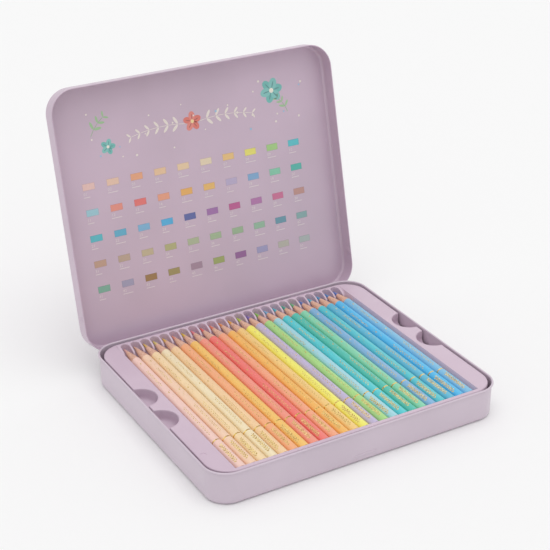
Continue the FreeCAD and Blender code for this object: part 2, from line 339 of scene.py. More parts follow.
# Gold foil or a gold band: warm metal, its tone going between darker and lighter patches, partly a stamp broken
# where it was dry and partly painted dark reflection and painted glint
def goldFinish(name, wornAndPaintedDarkReflection, brightAndPaintedGlint, metallic, smooth, rough):
    material, tree, place = startMaterial(name)
    patchesOfWearAndReflection = addNode(tree, "ShaderNodeTexNoise", {"Scale": perMm(0.9), "Detail": 2.0}, {"Vector": place})
    tone = addNode(tree, "ShaderNodeValToRGB", {"stops": ((0.35, wornAndPaintedDarkReflection), (0.65, brightAndPaintedGlint))},
                   {"Fac": patchesOfWearAndReflection.outputs["Fac"]})
    gloss = addNode(tree, "ShaderNodeMapRange", {"To Min": smooth, "To Max": rough},
                    {"Value": patchesOfWearAndReflection.outputs["Fac"]})
    shader = addNode(tree, "ShaderNodeBsdfPrincipled", {"Metallic": metallic},
                     {"Base Color": tone.outputs["Color"], "Roughness": gloss.outputs["Result"]})
    return endMaterial(material, shader)


# Printed ink film: the colour is stored on the mesh, with a faint speckle of the screen
def screenInk():
    material, tree, place = startMaterial("screenPrintedInk")
    stored = addNode(tree, "ShaderNodeAttribute", {"attribute_name": "inkColor"})
    speck = addNode(tree, "ShaderNodeTexNoise", {"Scale": perMm(0.6), "Detail": 2.0}, {"Vector": place})
    value = addNode(tree, "ShaderNodeMapRange", {"To Min": 0.94, "To Max": 1.04},
                    {"Value": speck.outputs["Fac"]})
    tone = addNode(tree, "ShaderNodeHueSaturation", {},
                   {"Color": stored.outputs["Color"], "Value": value.outputs["Result"]})
    shader = addNode(tree, "ShaderNodeBsdfPrincipled", {"Roughness": 0.5, "IOR": 1.45},
                     {"Base Color": tone.outputs["Color"]})
    return endMaterial(material, shader)


# The same lacquer twice: the base with a painted floor sheen, the lid with painted shade
baseTinplatePaintedSheen = lacqueredTinplate("lilacTinplatePaintedFloorSheen", tinLook["baseToneWithPaintedSheen"])
lidTinplatePaintedShade = lacqueredTinplate("lilacLidPlatePaintedShade", tinLook["lidToneWithPaintedShade"])
styrene = thermoformedStyrene()
basswood = sharpenedWood()
# The foil's darker patches are partly a dry stamp and partly painted dark reflection, and its lightest ones are
# painted glints; the band's patches are fainter
goldFoil = goldFinish("hotStampedGoldFoil", "AE8438", "FFE898", 0.3, 0.36, 0.48)
goldBand = goldFinish("polishedGoldBand", "E0B44A", "FFE490", 1.0, 0.08, 0.16)
printInk = screenInk()
print("materials ready")


# Tins: two drawn pans of lacquered sheet, one with a rolled rim and one with a hem

hingeJoint = next(joint for joint in frame["joints"] if joint["name"] == "lid_hinge")
hinge = Vector(hingeJoint["pos_m"])
openTurn = math.radians(-hingeJoint["range_deg"][0])
rimLow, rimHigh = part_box("base_tin")


def drawnPan(name, width, depth, height, corner, fold):  # open side up, standing on z = 0
    deselectAll()
    bpy.ops.mesh.primitive_cube_add(size=1, location=(0, 0, height / 2), scale=(width, depth, height))
    pan = named(name)
    applyPlace(pan)
    pick(pan, "EDGE", lambda a, b: not near(a.z, b.z))
    bpy.ops.mesh.bevel(offset=corner, segments=18, affect="EDGES")
    pick(pan, "FACE", lambda centre, normal: normal.z > 0.9)
    bpy.ops.mesh.delete(type="FACE")
    pick(pan, "EDGE", lambda a, b: near(a.z, 0) and near(b.z, 0))
    bpy.ops.mesh.bevel(offset=fold, segments=9, affect="EDGES")
    deselectAll()
    return pan


baseShape = {"sheet": 0.3, "fold": 3.3, "corner": 15.8, "bead": 1.5, "beadOverhang": 1.15,
             "slotWidth": 20.5, "slotOffset": 61.0, "slotLow": 0.91, "slotHigh": 1.87, "slotCut": 4.0,
             "barWidth": 17.0, "barHeight": 1.6, "barRelief": 0.35, "barLevel": 5.7}


def buildBase():
    shape = {key: value * mm for key, value in baseShape.items()}
    width = rimHigh.x - rimLow.x - 2 * shape["beadOverhang"]
    depth = rimHigh.y - rimLow.y - 2 * shape["beadOverhang"]
    wallTop = rimHigh.z - shape["bead"] / 2
    pan = drawnPan("basePan", width, depth, wallTop, shape["corner"], shape["fold"])
    applyModifier(pan, "SOLIDIFY", thickness=shape["sheet"], offset=-1)
    for side in (-1, 1):  # slots for the lid's tongues
        deselectAll()
        middle = hinge.z + (shape["slotLow"] + shape["slotHigh"]) / 2
        bpy.ops.mesh.primitive_cube_add(
            size=1, location=(side * shape["slotOffset"], hinge.y, middle),
            scale=(shape["slotWidth"], shape["slotCut"], shape["slotHigh"] - shape["slotLow"]))
        cutter = named("slotCutter")
        applyModifier(pan, "BOOLEAN", operation="DIFFERENCE", solver="EXACT", object=cutter)
        bpy.data.objects.remove(cutter)
    out = shape["beadOverhang"] - shape["bead"] / 2
    path = roundedRectangle(width + 2 * out, depth + 2 * out, shape["corner"] + out)
    rim = curveMesh("baseRim", [path], wallTop, shape["bead"])
    deselectAll()
    bpy.ops.mesh.primitive_cube_add(
        size=1, location=(0, -depth / 2, shape["barLevel"]),
        scale=(shape["barWidth"], 2 * shape["barRelief"], shape["barHeight"]))
    bar = named("baseBar")
    applyPlace(bar)
    pick(bar, "EDGE", lambda a, b: not near(a.y, b.y))
    bpy.ops.mesh.bevel(offset=shape["barHeight"] * 0.49, segments=6, affect="EDGES")
    pick(bar, "EDGE", lambda a, b: near(a.y, b.y) and a.y < -depth / 2 - shape["barRelief"] / 2)
    bpy.ops.mesh.bevel(offset=shape["barRelief"] * 0.8, segments=4, affect="EDGES")
    base = join("baseTin", [pan, rim, bar])
    coat(base, baseTinplatePaintedSheen)
    softShade(base)
    seat(base, "base", "lilac_tinplate", "base_tin")


lidShape = {"clearance": 0.8, "sheet": 0.3, "height": 13.0, "fold": 2.4, "corner": 18.05, "hem": 0.8,
            "hemProud": 0.05, "rimAboveHinge": 1.1, "dimpleRadius": 3.2, "dimpleDepth": 0.7,
            "dimpleAboveRim": 3.4, "frontDimple": 77.5, "sideDimpleFromRear": 27.0,
            "tongueWidth": 20.0, "tongueOffset": 61.0, "tongueRadius": 1.2, "tongueFlap": 1.8}
lidOpen = Matrix.Translation(hinge) @ Matrix.Rotation(-openTurn, 4, "X") @ Matrix.Translation(-hinge)


def pressDimple(pan, place, inward, reach, depth):  # a soft round dent, pressed from outside into one wall
    up = Vector((0, 0, 1))
    steps, gridReach = 5, 1.2  # cuts on each side of the middle, a little past the dent
    wallSkin = 0.1 * mm  # only vertices this close to the wall's face are moved
    fullness = 0.7  # below 1 the dent has a rounder floor

    def onWall(centre, normal):
        return normal.dot(inward) < -0.99 and (centre - place).dot(inward) < mm

    for direction in (inward.cross(up), up):
        for i in range(-steps, steps + 1):
            pick(pan, "FACE", onWall)
            cut = place + direction * (reach * gridReach * i / steps)
            bpy.ops.mesh.bisect(plane_co=cut, plane_no=direction)
    deselectAll()
    for vertex in pan.data.vertices:
        offset = vertex.co - place
        if abs(offset.dot(inward)) < wallSkin and offset.length < reach:
            vertex.co += inward * depth * (0.5 + 0.5 * math.cos(math.pi * offset.length / reach)) ** fullness


def buildTongue(x, root, shape):  # leg, bend about the hinge axis and flap, made with the lid closed
    deselectAll()
    top = hinge.z + shape["tongueRadius"] + shape["sheet"] / 2
    bpy.ops.mesh.primitive_plane_add(size=1, location=(x, (hinge.y + root) / 2, top))
    strip = named("tongue")
    strip.scale = (shape["tongueWidth"], root - hinge.y, 1)
    applyPlace(strip)
    pick(strip, "EDGE", lambda a, b: near(a.y, hinge.y) and near(b.y, hinge.y))
    bpy.ops.mesh.spin(steps=6, angle=math.radians(-90), center=hinge, axis=(1, 0, 0))
    pick(strip, "EDGE", lambda a, b: near(a.z, hinge.z, 0.05) and near(b.z, hinge.z, 0.05))
    bpy.ops.mesh.extrude_region_move(TRANSFORM_OT_translate={"value": (0, 0, -shape["tongueFlap"])})
    deselectAll()
    applyModifier(strip, "SOLIDIFY", thickness=shape["sheet"], offset=0)
    return strip


def buildLid():
    shape = {key: value * mm for key, value in lidShape.items()}
    grow = 2 * (shape["clearance"] + shape["sheet"])
    width = rimHigh.x - rimLow.x + grow
    depth = rimHigh.y - rimLow.y + grow
    rim = hinge.z + shape["rimAboveHinge"]
    skirt = rim + shape["hem"] / 2
    pan = drawnPan("lidPan", width, depth, shape["height"] - shape["hem"] / 2, shape["corner"], shape["fold"])
    top = rim + shape["height"]
    applyPlace(pan, Matrix.Translation((0, 0, top)) @ Matrix.Rotation(math.pi, 4, "X"))
    level = rim + shape["dimpleAboveRim"]
    sideY = depth / 2 - shape["sideDimpleFromRear"]
    for side in (-1, 1):
        front = Vector((side * shape["frontDimple"], -depth / 2, level))
        flank = Vector((side * width / 2, sideY, level))
        pressDimple(pan, front, Vector((0, 1, 0)), shape["dimpleRadius"], shape["dimpleDepth"])
        pressDimple(pan, flank, Vector((-side, 0, 0)), shape["dimpleRadius"], shape["dimpleDepth"])
    applyModifier(pan, "SOLIDIFY", thickness=shape["sheet"], offset=-1)
    inset = shape["hem"] / 2 - shape["hemProud"]
    path = roundedRectangle(width - 2 * inset, depth - 2 * inset, shape["corner"] - inset)
    hem = curveMesh("lidHem", [path], skirt, shape["hem"])
    pieces = [pan, hem]
    for side in (-1, 1):
        pieces.append(buildTongue(side * shape["tongueOffset"], depth / 2 - shape["sheet"] / 2, shape))
    lid = join("lidTin", pieces)
    applyPlace(lid, lidOpen)
    coat(lid, lidTinplatePaintedShade)
    softShade(lid)
    seat(lid, "lid", "lilac_tinplate", "lid_tin")
    return top - shape["sheet"]


buildBase()
print("base tin built")
lidPanel = buildLid()
print("lid tin built")


# Trays: one vacuum-formed sheet each, with a lane for every pencil and pockets round the tips

laneShape = {"play": 0.15, "endPlay": 0.5, "ridgeDrop": 1.19, "ridgeHalf": 3.5, "ridgeRise": 0.12,
             "pocketHalf": 3.15, "pocketLength": 10.66, "lip": 0.5, "margin": 1.6, "wallOverlap": 0.3,
             "floorLift": 2.0, "liftLength": 9.0, "leadIn": 1.0, "spare": 0.2}


def laneStations(front, rear, shape):  # places along a lane, close together where the pockets curve
    archSteps, roundSteps = 12, 8
    length = shape["pocketLength"]
    pocketEnd = rear - shape["pocketHalf"]
    stations = [front, rear - length - shape["leadIn"]]
    stations += [rear - length * math.cos(math.radians(90 * i / archSteps)) for i in range(archSteps - 1)]
    stations = [y for y in stations if y < pocketEnd - shape["spare"]]
    for i in range(roundSteps + 1):
        stations.append(pocketEnd + shape["pocketHalf"] * math.sin(math.radians(90 * i / roundSteps)))
    return stations


# Half of one lane at y, from its middle to the next lane
def laneSection(y, rear, axisZ, flange, radius, pitch, shape):
    floorSteps, lipSteps = 7, 3
    low = axisZ - shape["ridgeDrop"] + shape["ridgeRise"]
    away = min(max((rear - y) / shape["pocketLength"], 0), 1)
    crest = low + (flange - low) * math.sqrt(1 - away ** 2)
    rise = min((crest - low) / mm, 1)
    half = shape["ridgeHalf"] + (shape["pocketHalf"] - shape["ridgeHalf"]) * rise
    narrow = 1.0
    if y > rear - shape["pocketHalf"]:
        narrow = math.sqrt(max(1 - ((y - rear) / shape["pocketHalf"] + 1) ** 2, 0))
    points = []
    climb = min(max(1 - (rear - y) / shape["liftLength"], 0), 1)
    lift = shape["floorLift"] * climb * climb * (3 - 2 * climb)  # the floor rises gently under the tip
    for i in range(floorSteps + 1):
        x = half * i / floorSteps
        points.append((x * narrow, axisZ - math.sqrt(radius ** 2 - x ** 2) + lift))
    foot = points[-1][1]
    wall = half * narrow
    lip = min(shape["lip"], (pitch / 2 - wall) * 0.6, (crest - foot) * 0.5)  # leaves room on low or thin fins
    points.append((wall, foot + (crest - lip - foot) * 0.5))
    for i in range(lipSteps + 1):
        turn = math.radians(90 * i / lipSteps)
        points.append((wall + lip * (1 - math.cos(turn)), crest - lip * (1 - math.sin(turn))))
    points.append((pitch / 2, crest))
    return points


def buildLanes(count, pencilLow, pencilHigh, pitch, flange):
    shape = {key: value * mm for key, value in laneShape.items()}
    axisZ = (pencilLow.z + pencilHigh.z) / 2
    radius = (pencilHigh.z - pencilLow.z) / 2 + shape["play"]
    front = pencilLow.y - shape["endPlay"]
    rear = pencilHigh.y + shape["endPlay"]
    stations = laneStations(front, rear, shape)
    sections = []
    for y in stations:
        half = laneSection(y, rear, axisZ, flange, radius, pitch, shape)
        sections.append([(-x, z) for x, z in reversed(half)] + half[1:])
    deselectAll()
    across = len(sections[0])
    bpy.ops.mesh.primitive_grid_add(x_subdivisions=across - 1, y_subdivisions=len(stations) - 1, size=1)
    lane = named("lane")
    firstX = -pitch * (count - 1) / 2
    for index, vertex in enumerate(lane.data.vertices):
        x, z = sections[index // across][index % across]
        vertex.co = (firstX + x, stations[index // across], z)
    applyModifier(lane, "ARRAY", count=count, use_relative_offset=False, use_constant_offset=True,
                  constant_offset_displace=(pitch, 0, 0), use_merge_vertices=True, merge_threshold=0.001 * mm)
    mergeDoubles(lane)
    for side in (-1, 1):  # flat strips between the outer lanes and the trough's walls
        end = side * count * pitch / 2
        pick(lane, "EDGE", lambda a, b: near(a.x, end) and near(b.x, end))
        bpy.ops.mesh.extrude_region_move(TRANSFORM_OT_translate={"value": (side * shape["margin"], 0, 0)})
    deselectAll()
    return lane, front, rear


flangeShape = {"corner": 17.0, "edgeRound": 1.0, "rimRound": 0.5, "wellRadius": 12.0, "wellDepth": 9.5,
               "wellSpacing": 31.0, "wellMiddle": 1.0, "wellSetOut": 0.8, "wellFillet": 3.2, "wellBlank": 4.0,
               "markRadius": 2.4, "markDepth": 0.2, "markInset": 3.9, "markFromFront": 25.5}


def flangeOutline(low, high, shape, withWells, inset):  # outer edge, with a round bite for each finger well
    middleY = (low.y + high.y) / 2
    edge = high.x - inset
    outline = roundedRectangle(2 * edge, high.y - low.y - 2 * inset, shape["corner"] - inset)
    outline = [(x, y + middleY) for x, y in outline]
    wells = []
    if withWells:
        radius = shape["wellRadius"] + inset
        reach = math.degrees(math.acos((shape["wellSetOut"] + inset) / radius))
        for side in (1, -1):
            bites = []
            for row in (-side, side):
                centre = (side * (high.x + shape["wellSetOut"]),
                          shape["wellMiddle"] + row * shape["wellSpacing"] / 2)
                facing = 180 if side > 0 else 0
                bites += arcPoints(centre, radius, facing + reach, facing - reach, 28)
                wells.append(centre)
            corner = next(i for i, (x, y) in enumerate(outline)
                          if near(x, side * edge, 0.02) and (y - middleY) * side > 0)
            outline = outline[:corner] + bites + outline[corner:]
    return outline, wells


def follow(piece, rings):  # the open edge that is selected is drawn out through the rings, point by point
    here = rings[0][0]
    for there, z in rings[1:]:
        bpy.ops.mesh.extrude_region_move()
        bpy.ops.object.mode_set(mode="OBJECT")
        for vertex in piece.data.vertices:
            if vertex.select:
                gaps = [math.hypot(x - vertex.co.x, y - vertex.co.y) for x, y in here]
                vertex.co = (*there[gaps.index(min(gaps))], z)
        bpy.ops.object.mode_set(mode="EDIT")
        here = there
    deselectAll()


# Round floor with a soft foot, cut straight at the tray's edge
def wellFloor(centre, edge, floor, skirt, shape):
    deselectAll()
    bpy.ops.mesh.primitive_cylinder_add(vertices=64, radius=shape["wellRadius"], depth=shape["wellBlank"],
                                        location=(*centre, floor + shape["wellBlank"] / 2))
    cup = named("wellFloor")
    applyPlace(cup)
    pick(cup, "EDGE", lambda a, b: near(a.z, floor) and near(b.z, floor))
    bpy.ops.mesh.bevel(offset=shape["wellFillet"], segments=6, affect="EDGES")
    pick(cup, "FACE", lambda where, normal: where.z > floor + shape["wellFillet"])
    bpy.ops.mesh.delete(type="FACE")
    bpy.ops.mesh.select_all(action="SELECT")
    bpy.ops.mesh.bisect(plane_co=(edge, 0, 0), plane_no=(math.copysign(1, edge), 0, 0), clear_outer=True)
    bpy.ops.mesh.select_all(action="SELECT")
    bpy.ops.mesh.flip_normals()
    pick(cup, "EDGE", lambda a, b: near(a.x, edge) and near(b.x, edge))
    bpy.ops.mesh.extrude_region_move()
    bpy.ops.transform.resize(value=(1, 1, 0), center_override=(edge, 0, skirt))
    deselectAll()
    return cup


def buildTray(name, node, body, row, count, withWells, sheet):
    shape = {key: value * mm for key, value in flangeShape.items()}
    low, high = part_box(node)
    pencilLow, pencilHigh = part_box(f"{row}_pencil_01")
    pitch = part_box(f"{row}_pencil_02")[0].x - pencilLow.x
    flange, skirt = high.z, low.z
    lane, front, rear = buildLanes(count, pencilLow, pencilHigh, pitch, flange)
    foot = (pencilLow.z + pencilHigh.z) / 2 - (laneShape["ridgeDrop"] + laneShape["wallOverlap"]) * mm
    margin = laneShape["margin"] * mm
    half = count * pitch / 2 + margin
    rollSteps = 6
    outer, inner = [], []  # rings of the rolled outer edge and of the trough's rolled rim
    for i in range(rollSteps + 1):
        turn = math.radians(90 * i / rollSteps)
        out, drop = 1 - math.sin(turn), 1 - math.cos(turn)
        outline, wells = flangeOutline(low, high, shape, withWells, shape["edgeRound"] * out)
        outer.append((outline, flange - shape["edgeRound"] * drop))
        lip = shape["rimRound"] * out
        wide, frontLip = half + lip, front - lip
        trough = [(-wide, frontLip), (wide, frontLip), (wide, rear), (-wide, rear)]
        inner.append((trough, flange - shape["rimRound"] * drop))
    outer.append((outer[-1][0], skirt))
    base = half - margin  # the side walls lean in down to the outer lanes
    inner.append(([(-base, front), (base, front), (base, rear), (-base, rear)], foot))
    mark = (low.x + shape["markInset"], low.y + shape["markFromFront"])
    loops = [outer[0][0], inner[0][0]]
    if withWells:
        loops.append(arcPoints(mark, shape["markRadius"], 0, 345, 23))
    plate = curveMesh("flange", loops, flange)
    if plate.data.polygons[0].normal.z < 0:
        pickAll(plate)
        bpy.ops.mesh.flip_normals()

    def on(points, p):
        return min(math.hypot(x - p.x, y - p.y) for x, y in points) < 0.01 * mm

    def border(points):  # open edges of the plate between these points
        pick(plate, "EDGE", lambda a, b: all(near(p.z, flange) and on(points, p) for p in (a, b)))
        deselectAll()
        counts = {}
        for face in plate.data.polygons:
            for key in face.edge_keys:
                counts[key] = counts.get(key, 0) + 1
        for item in (*plate.data.vertices, *plate.data.polygons):
            item.select = False
        for edge in plate.data.edges:
            edge.select = edge.select and counts.get(edge.key, 0) == 1
        bpy.ops.object.mode_set(mode="EDIT")
        bpy.ops.mesh.select_mode(type="EDGE")

    border(loops[1])
    follow(plate, inner)
    border(loops[0])
    follow(plate, outer)
    if withWells:
        border(loops[2])
        bpy.ops.mesh.extrude_region_move(TRANSFORM_OT_translate={"value": (0, 0, -shape["markDepth"])})
        bpy.ops.mesh.edge_face_add()
    pieces = [plate, lane]
    for centre in wells:
        edge = math.copysign(high.x, centre[0])
        pieces.append(wellFloor(centre, edge, flange - shape["wellDepth"], skirt, shape))
    for piece in pieces:
        pickAll(piece)
        bpy.ops.mesh.normals_make_consistent(inside=False)
        deselectAll()
        if max(piece.data.polygons, key=lambda face: face.area * abs(face.normal.z)).normal.z < 0:
            pickAll(piece)
            bpy.ops.mesh.flip_normals()
        applyModifier(piece, "SOLIDIFY", thickness=sheet * mm, offset=-1)
    tray = join(name, pieces)
    coat(tray, styrene)
    softShade(tray, 40)
    seat(tray, body, "lilac_tray", node)


buildTray("upperTray", "upper_tray", "upper_tray", "upper", 24, True, 0.6)
buildTray("lowerTray", "lower_tray", "lower_tray", "lower", 26, False, 0.45)
print("trays built")


# Pencils: one pencil is pulled out ring by ring, and every other pencil is a copy of it

pencilSides = 40
pencilShape = {"coreRadius": 1.4, "radius": 3.6, "length": 175.0, "buttRound": 0.25, "ringFromButt": 34.0,
               "ringWidth": 1.1, "coneLength": 20.5, "lacquerEdge": 0.07, "coreShown": 6.83, "tipRadius": 0.45,
               "coreStep": 0.05, "coreStepLong": 0.04, "tipRound": 0.35, "tipFlare": 0.1, "tipCap": 0.08,
               "edgeReach": 0.06, "unevenLacquer": 0.14, "unevenWood": 0.2,
               "buttReach": 0.02, "coreReach": 0.1, "edgeReserve": 0.3, "tipReserve": 6.0}
upperColors = """F9D4C8 F8D5B8 F9DEB0 F6E7C1 F8D4A5 F9B485 F9CA6F F79D88 F57F76 F9AD88 F9BF65 F9D285
F8F473 C5BBDB ACE08A A5DCE7 5AD2D8 55C6B4 89DAB4 84B9E1 5ACCD6 62BEDB 54C0F1 82C4E8""".split()
upperCores = """EEB8AE E2B49A E8C06A EED882 EEC05E F4A288 F4CC52 F49094 F47870 F79076 F7A264 FABA58
CADE58 8E78C4 9AD264 88C0E2 5EC6D6 52BAA0 76C688 6A8AD0 64C0DC 5EA8D6 5E96D6 6484D0""".split()
lowerColors = """5F70AE A878B4 C9629A BC80B6 D9789E CB9C90 CDAA8E C7B298 CFC49A BFC184 B9CAA0 ACCB9D A2C69A
9BCBA8 6AA4B4 8CBAB6 80BDA2 A9ABC4 A6854F A99E60 AE95A6 A6B86A 9B6AA0 A9ABD1 C4C6B4 B7C7C2""".split()


def modelPencil():  # along +Y from y = 0, axis on the origin; bands are told apart by their place
    shape = {key: value * mm for key, value in pencilShape.items()}
    shoulder = shape["length"] - shape["coneLength"]
    woodEnd = shape["length"] - shape["coreShown"]
    ringStart = shape["ringFromButt"] - shape["ringWidth"] / 2
    slope = (shape["radius"] - shape["tipRadius"]) / shape["coneLength"]
    woodRadius = shape["tipRadius"] + slope * shape["coreShown"]
    quarterCone = shape["coneLength"] / 4
    rings = [  # place along the pencil, radius
        (0, shape["radius"] - shape["buttRound"]),
        (shape["buttRound"] * 0.35, shape["radius"] - shape["buttRound"] * 0.3),
        (shape["buttRound"], shape["radius"]),
        (ringStart, shape["radius"]),
        (ringStart + shape["ringWidth"], shape["radius"]),
        (shoulder, shape["radius"]),
        (shoulder + shape["lacquerEdge"] * 0.5, shape["radius"] - shape["lacquerEdge"]),
        (shoulder + quarterCone, shape["radius"] - slope * quarterCone),
        (woodEnd, woodRadius),
        (woodEnd + shape["coreStepLong"], woodRadius - shape["coreStep"]),
        (shape["length"] - shape["tipRound"], shape["tipRadius"] + slope * shape["tipFlare"]),
        (shape["length"] - shape["tipCap"], shape["tipRadius"] * 0.72),
        (shape["length"], shape["tipRadius"] * 0.3),
    ]
    deselectAll()
    bpy.ops.mesh.primitive_circle_add(vertices=pencilSides, radius=shape["coreRadius"], fill_type="NGON",
                                      rotation=(math.radians(-90), 0, 0))
    pencil = named("pencilPattern")
    applyPlace(pencil)
    bpy.ops.object.mode_set(mode="EDIT")
    bpy.ops.mesh.select_mode(type="FACE")
    bpy.ops.mesh.select_all(action="SELECT")
    place, radius = 0, shape["coreRadius"]
    for nextPlace, nextRadius in rings:
        bpy.ops.mesh.extrude_region_move(TRANSFORM_OT_translate={"value": (0, nextPlace - place, 0)})
        scale = nextRadius / radius
        bpy.ops.transform.resize(value=(scale, 1, scale), center_override=(0, nextPlace, 0))
        place, radius = nextPlace, nextRadius
    bpy.ops.mesh.select_all(action="SELECT")
    bpy.ops.mesh.normals_make_consistent(inside=False)
    deselectAll()
    for vertex in pencil.data.vertices:  # the sharpener leaves the two edges a little uneven
        turn = math.atan2(vertex.co.x, vertex.co.z)
        if abs(vertex.co.y - shoulder) < shape["edgeReach"]:
            vertex.co.y += shape["unevenLacquer"] * math.sin(3 * turn) * math.cos(2 * turn + 0.6)
        elif abs(vertex.co.y - woodEnd) < shape["edgeReach"]:
            vertex.co.y += shape["unevenWood"] * math.sin(2 * turn + 1.1)
    for name in ("lacquer", "wood", "core", "band", "foil"):
        pencil.data.materials.append(bpy.data.materials.new(name))
    for face in pencil.data.polygons:
        y = face.center.y
        across = math.hypot(face.center.x, face.center.z)
        if y < shape["buttReach"]:
            face.material_index = 2 if across < shape["coreReach"] else 1
        elif ringStart < y < ringStart + shape["ringWidth"]:
            face.material_index = 3
        elif y > woodEnd + shape["edgeReserve"] or y > shape["length"] - shape["tipReserve"]:
            face.material_index = 2
        elif y > shoulder + shape["edgeReserve"]:
            face.material_index = 1
    softShade(pencil, 30)
    return pencil


# Millimetres along the barrel from the butt; dashes are x, along, half width, half length, turn in degrees
foilShape = {"lift": 0.025, "sprigStart": 6.5, "sprigEnd": 30.0, "veinWide": 0.34,
             "leafStep": 2.0, "leafLong": 2.2, "leafWide": 0.85, "leafOut": 0.75, "leafTurn": 38,
             "dashStart": 42.0, "dashEnd": 78.0, "dashStep": 2.7,
             "dashes": ((-0.45, 0, 0.26, 0.8, 0), (0.5, 0.7, 0.3, 0.3, 0), (0.55, 1.7, 0.22, 0.6, 20)),
             "starYs": (101.0, 145.0), "starOut": 0.2, "starLong": 1.25, "starWide": 0.5,
             "sparks": ((-1.6, -3.1, 0.26), (1.2, -4.4, 0.22), (0.3, -6.2, 0.3), (-0.9, 2.6, 0.22),
                        (1.7, 2.2, 0.28), (-0.4, -8.0, 0.2), (0.9, 4.4, 0.2), (-1.9, 0.7, 0.2)),
             "vineStart": 112.0, "vineEnd": 135.0, "vineStep": 2.1, "vineSway": 0.25, "vineTurn": 24,
             "budOut": -0.8, "budAlong": 1.0, "budTurn": -20}


def foilSpot(x, y, halfWide, halfLong, turn=0.0, sides=8):  # one flat spot of foil, before it is wrapped round
    deselectAll()
    bpy.ops.mesh.primitive_circle_add(vertices=sides, radius=1, fill_type="TRIFAN",
                                      location=(x * mm, y * mm, 0), rotation=(0, 0, math.radians(turn)))
    spot = named("foilSpot")
    spot.scale = (halfWide * mm, halfLong * mm, 1)
    applyPlace(spot)
    return spot


def modelFoil():  # sprig behind the ring, a row of dashes and dots before it, then stars with sparks and a vine
    shape = foilShape
    spots = [foilSpot(0, (shape["sprigStart"] + shape["sprigEnd"]) / 2, shape["veinWide"] / 2,
                      (shape["sprigEnd"] - shape["sprigStart"]) / 2)]
    y = shape["sprigStart"]
    while y < shape["sprigEnd"] - shape["leafStep"]:
        for side in (-1, 1):
            spots.append(foilSpot(side * shape["leafOut"], y + 0.5 * shape["leafStep"] * (side > 0),
                                  shape["leafWide"] / 2, shape["leafLong"] / 2, -side * shape["leafTurn"]))
        y += shape["leafStep"]
    y = shape["dashStart"]
    while y < shape["dashEnd"]:
        for x, along, halfWide, halfLong, turn in shape["dashes"]:
            spots.append(foilSpot(x, y + along, halfWide, halfLong, turn))
        y += shape["dashStep"]
    for middle in shape["starYs"]:
        for turn in (0, 90):
            spots.append(foilSpot(shape["starOut"], middle, shape["starWide"], shape["starLong"], turn, 4))
        for x, along, size in shape["sparks"]:
            spots.append(foilSpot(x, middle + along, size, size))
    y = shape["vineStart"]
    while y < shape["vineEnd"]:
        spots.append(foilSpot(shape["vineSway"] * math.sin(y), y, 0.25, 0.85,
                              shape["vineTurn"] * math.sin(1.7 * y)))
        spots.append(foilSpot(shape["budOut"], y + shape["budAlong"], 0.21, 0.55, shape["budTurn"]))
        y += shape["vineStep"]
    foil = join("foilPattern", spots)
    radius = (pencilShape["radius"] + shape["lift"]) * mm
    for vertex in foil.data.vertices:
        turn = vertex.co.x / radius
        vertex.co = (radius * math.sin(turn), vertex.co.y, radius * math.cos(turn))
    foil.data.materials.append(bpy.data.materials["foil"])
    return foil


def copyOf(piece):
    twin = piece.copy()
    twin.data = piece.data.copy()
    bpy.context.scene.collection.objects.link(twin)
    return twin


pencilPattern = modelPencil()
foilPattern = modelFoil()


foilRoll = (-36, -10)  # degrees: the stamped side lies a little to the left, never quite the same


def placePencil(node, body, slot, hexColor, coreHex):
    low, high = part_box(node)
    place = Matrix.Translation(((low.x + high.x) / 2, low.y, (low.z + high.z) / 2))
    roll = Matrix.Rotation(math.radians(random.uniform(*foilRoll)), 4, "Y")
    pencil, foil = copyOf(pencilPattern), copyOf(foilPattern)
    pencil = join(node.replace("_pencil_", "Pencil"), [pencil, foil])
    pencil.data.transform(place @ roll)
    finishes = {"lacquer": pencilLacquer(slot, hexColor), "wood": basswood,
                "core": pigmentCore(slot.replace("lacquer", "core"), coreHex),
                "band": goldBand, "foil": goldFoil}
    for index, material in enumerate(pencil.data.materials):
        pencil.data.materials[index] = finishes[material.name]
    seat(pencil, body, slot, node)


for index, (hexColor, coreHex) in enumerate(zip(upperColors, upperCores), 1):
    node = f"upper_pencil_{index:02d}"
    placePencil(node, node, f"upper_lacquer_{index:02d}", hexColor, coreHex)
for index, hexColor in enumerate(lowerColors, 1):
    placePencil(f"lower_pencil_{index:02d}", "lower_pencils", f"lower_lacquer_{index:02d}", hexColor,
                mixHex(hexColor, "000000", 0.22))
for pattern in (pencilPattern, foilPattern):
    bpy.data.objects.remove(pattern)
print("pencils built:", len(upperColors) + len(lowerColors))


# Print inside the lid: a chart of the pencil colours with numbers, and a spray of flowers above it

printShape = {"columns": 10, "rows": 5, "columnStep": 18.75, "rowStep": 18.88, "middleX": -4.7, "lowRow": 40.3,
              "chipWide": 9.4, "chipHigh": 4.9, "edge": 0.3, "numberSize": 3.0, "numberDrop": 6.0,
              "ruleDrop": 7.4, "ruleWide": 0.55, "ruleShort": 5.0, "ruleSpread": 4.0, "lift": 0.03}
chartOrder = [1, 2, 6, 5, 3, 4, 12, 13, 15, 17, 16, 8, 9, 10, 11, 7, 14, 20, 19, 18, 21, 22, 24, 23]
cream, labelInk, teal, ivory, stemGreen, leafGreen = "E9DFD8", "DED3D6", "79BDB7", "F1EBDD", "8FB78A", "A3C79A"
